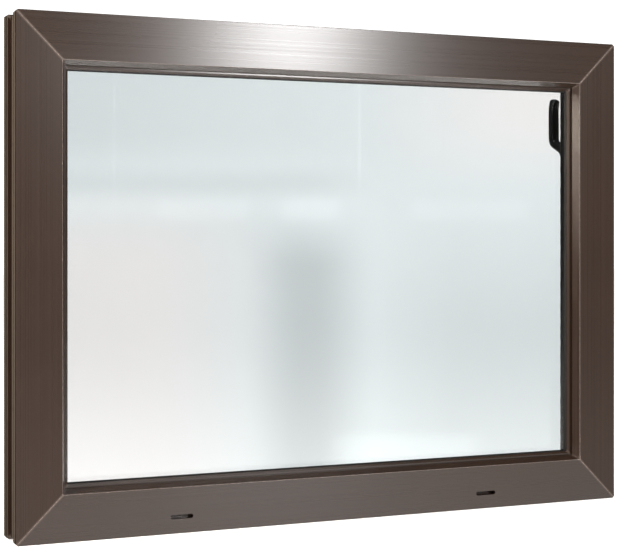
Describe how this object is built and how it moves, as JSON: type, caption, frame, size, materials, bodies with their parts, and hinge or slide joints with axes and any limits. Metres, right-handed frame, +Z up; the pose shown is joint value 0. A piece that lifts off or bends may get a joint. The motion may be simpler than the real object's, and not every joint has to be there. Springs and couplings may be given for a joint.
{
  "type": "bottom-hung utility window with cranked handle",
  "caption": "Small brown plastic utility window: a mitred outer frame with drain slots and a slim insulated-glass sash that tilts into the room on a cranked side handle.",
  "frame": {"origin": "middle of the bottom edge of the frame's outside face, on the plane of the sill's underside", "axes": "+X to the right seen from outside, +Y from the outside face into the room, +Z up"},
  "size_m": [0.8, 0.0999, 0.6],
  "materials": {
    "pvc_brown": "dark brown mass-coloured plastic, semi-gloss, fine extrusion streaks",
    "glass": "clear float glass",
    "spacer_metal": "mill finish, fine perforations",
    "sealant": "dull black sealant",
    "epdm": "black extruded seal",
    "block_plastic": "plain moulded packer",
    "steel_profile": "galvanised",
    "zinc_steel": "bright zinc plate",
    "zinc_cast": "die-cast, zinc plated",
    "screw_zinc": "zinc plated screws",
    "handle_black": "glossy black"
  },
  "bodies": {
    "frame": {"frame_gasket": "epdm", "frame_head": "pvc_brown", "frame_left_jamb": "pvc_brown", "frame_right_jamb": "pvc_brown", "frame_sill": "pvc_brown", "hinge_frame_leaf_left": "zinc_steel", "hinge_frame_leaf_right": "zinc_steel", "hinge_frame_screws": "screw_zinc", "hinge_pin_left": "zinc_steel", "hinge_pin_right": "zinc_steel", "stay_pivot_left": "zinc_cast", "stay_pivot_right": "zinc_cast", "stay_screws": "screw_zinc", "striker_screws": "screw_zinc", "striker_side": "zinc_cast", "striker_top_left": "zinc_cast", "striker_top_right": "zinc_cast"},
    "sash": {"corner_drive_band": "zinc_steel", "corner_drive_housing": "zinc_steel", "faceplate_screws": "screw_zinc", "faceplate_side": "zinc_steel", "faceplate_top": "zinc_steel", "gearbox_case": "zinc_cast", "glass_edge_seal": "sealant", "glass_inner_pane": "glass", "glass_outer_pane": "glass", "glass_spacer": "spacer_metal", "glazing_bead_bottom_rail": "pvc_brown", "glazing_bead_head": "pvc_brown", "glazing_bead_left_stile": "pvc_brown", "glazing_bead_right_stile": "pvc_brown", "glazing_blocks": "block_plastic", "glazing_gasket_inner": "epdm", "glazing_gasket_outer": "epdm", "handle_screws": "screw_zinc", "hinge_sash_leaf_left": "zinc_steel", "hinge_sash_leaf_right": "zinc_steel", "hinge_sash_screws": "screw_zinc", "rosette_base": "zinc_cast", "rosette_cover": "handle_black", "sash_bottom_rail": "pvc_brown", "sash_head": "pvc_brown", "sash_left_stile": "pvc_brown", "sash_right_stile": "pvc_brown", "stay_stud_left": "zinc_steel", "stay_stud_right": "zinc_steel", "steel_bottom_rail": "steel_profile", "steel_head": "steel_profile", "steel_left_stile": "steel_profile", "steel_right_stile": "steel_profile"},
    "handle": {"handle_lever": "handle_black", "handle_spindle": "zinc_steel", "gearbox_pinion": "zinc_cast"},
    "side_rod": {"drive_rod_side": "zinc_steel", "cam_side": "zinc_steel"},
    "top_rod": {"drive_rod_top": "zinc_steel", "cams_top": "zinc_steel"},
    "stay_left": {"stay_arm_left": "zinc_steel"},
    "stay_right": {"stay_arm_right": "zinc_steel"}
  },
  "joints": [
    {"name": "sash_tilt", "type": "hinge", "parent": "frame", "child": "sash", "pos_m": [0, 0.0545, 0.0225], "axis": [-1, 0, 0], "range_deg": [0, 15]},
    {"name": "handle_turn", "type": "hinge", "parent": "sash", "child": "handle", "pos_m": [0.3645, 0.0575, 0.45], "axis": [0, -1, 0], "range_deg": [0, 90]},
    {"name": "side_rod_slide", "type": "slide", "parent": "sash", "child": "side_rod", "axis": [0, 0, 1], "range_m": [0, 0.011]},
    {"name": "top_rod_slide", "type": "slide", "parent": "sash", "child": "top_rod", "axis": [-1, 0, 0], "range_m": [0, 0.011]},
    {"name": "stay_left_swing", "type": "hinge", "parent": "frame", "child": "stay_left", "pos_m": [-0.38, 0.05, 0.08], "axis": [-1, 0, 0], "range_deg": [0, 17.67]},
    {"name": "stay_right_swing", "type": "hinge", "parent": "frame", "child": "stay_right", "pos_m": [0.38, 0.05, 0.08], "axis": [-1, 0, 0], "range_deg": [0, 17.67]}
  ],
  "couplings": [
    {"joint": "side_rod_slide", "follows": "handle_turn", "m_per_rad": 0.007},
    {"joint": "top_rod_slide", "follows": "handle_turn", "m_per_rad": 0.007},
    {"joint": "stay_left_swing", "follows": "sash_tilt", "ratio": 1.1773},
    {"joint": "stay_right_swing", "follows": "sash_tilt", "ratio": 1.1773}
  ]
}
